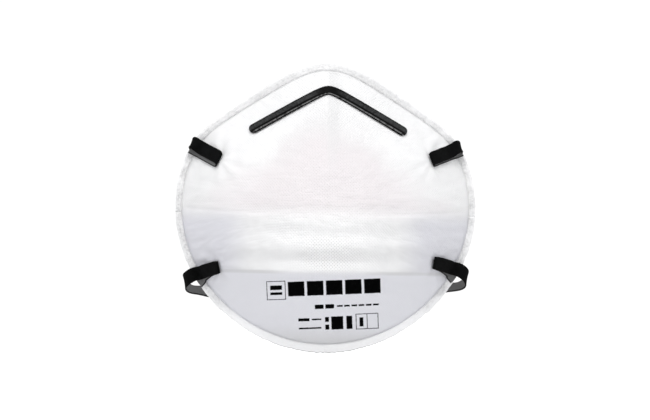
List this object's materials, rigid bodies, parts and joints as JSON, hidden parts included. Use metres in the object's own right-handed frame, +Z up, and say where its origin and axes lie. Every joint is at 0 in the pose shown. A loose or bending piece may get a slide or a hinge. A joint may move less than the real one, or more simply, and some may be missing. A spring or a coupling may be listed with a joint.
{
  "type": "disposable dust mask",
  "caption": "Cup-shaped disposable dust mask with a welded rim, a bendable nose clip and two elastic head straps.",
  "frame": {"origin": "middle of the whole mask's bounding box, straps included; the cheeks' flat rear face is at y = -22.5 mm", "axes": "+Z up as the mask is worn, -Y out of the front of the cup, +X to the right of someone who faces the mask"},
  "size_m": [0.1316, 0.154, 0.1264],
  "materials": {
    "cover": "matte",
    "filter": "matte",
    "support": "matte",
    "lining": "matte",
    "rim": "matte",
    "clip": "satin",
    "glue": "satin",
    "foam": "matte",
    "elastic": "matte"
  },
  "bodies": {
    "mask": {"outer_cover": "cover", "filter_layer": "filter", "support_shell": "support", "inner_lining": "lining", "welded_rim": "rim", "nose_clip": "clip", "nose_clip_adhesive": "glue", "nose_foam": "foam", "nose_foam_adhesive": "glue", "strap_end_upper_left": "elastic", "strap_end_upper_right": "elastic", "strap_bond_upper_left": "glue", "strap_bond_upper_right": "glue", "strap_end_lower_left": "elastic", "strap_end_lower_right": "elastic", "strap_bond_lower_left": "glue", "strap_bond_lower_right": "glue"},
    "upper_strap": {"upper_strap": "elastic"},
    "lower_strap": {"lower_strap": "elastic"}
  },
  "joints": [
    {"name": "upper_strap_swing", "type": "hinge", "parent": "mask", "child": "upper_strap", "pos_m": [0, -0.015, 0.0266], "axis": [1, 0, 0], "range_deg": [-70, 120]},
    {"name": "lower_strap_swing", "type": "hinge", "parent": "mask", "child": "lower_strap", "pos_m": [0, -0.0163, -0.0363], "axis": [1, 0, 0], "range_deg": [-120, 70]}
  ]
}
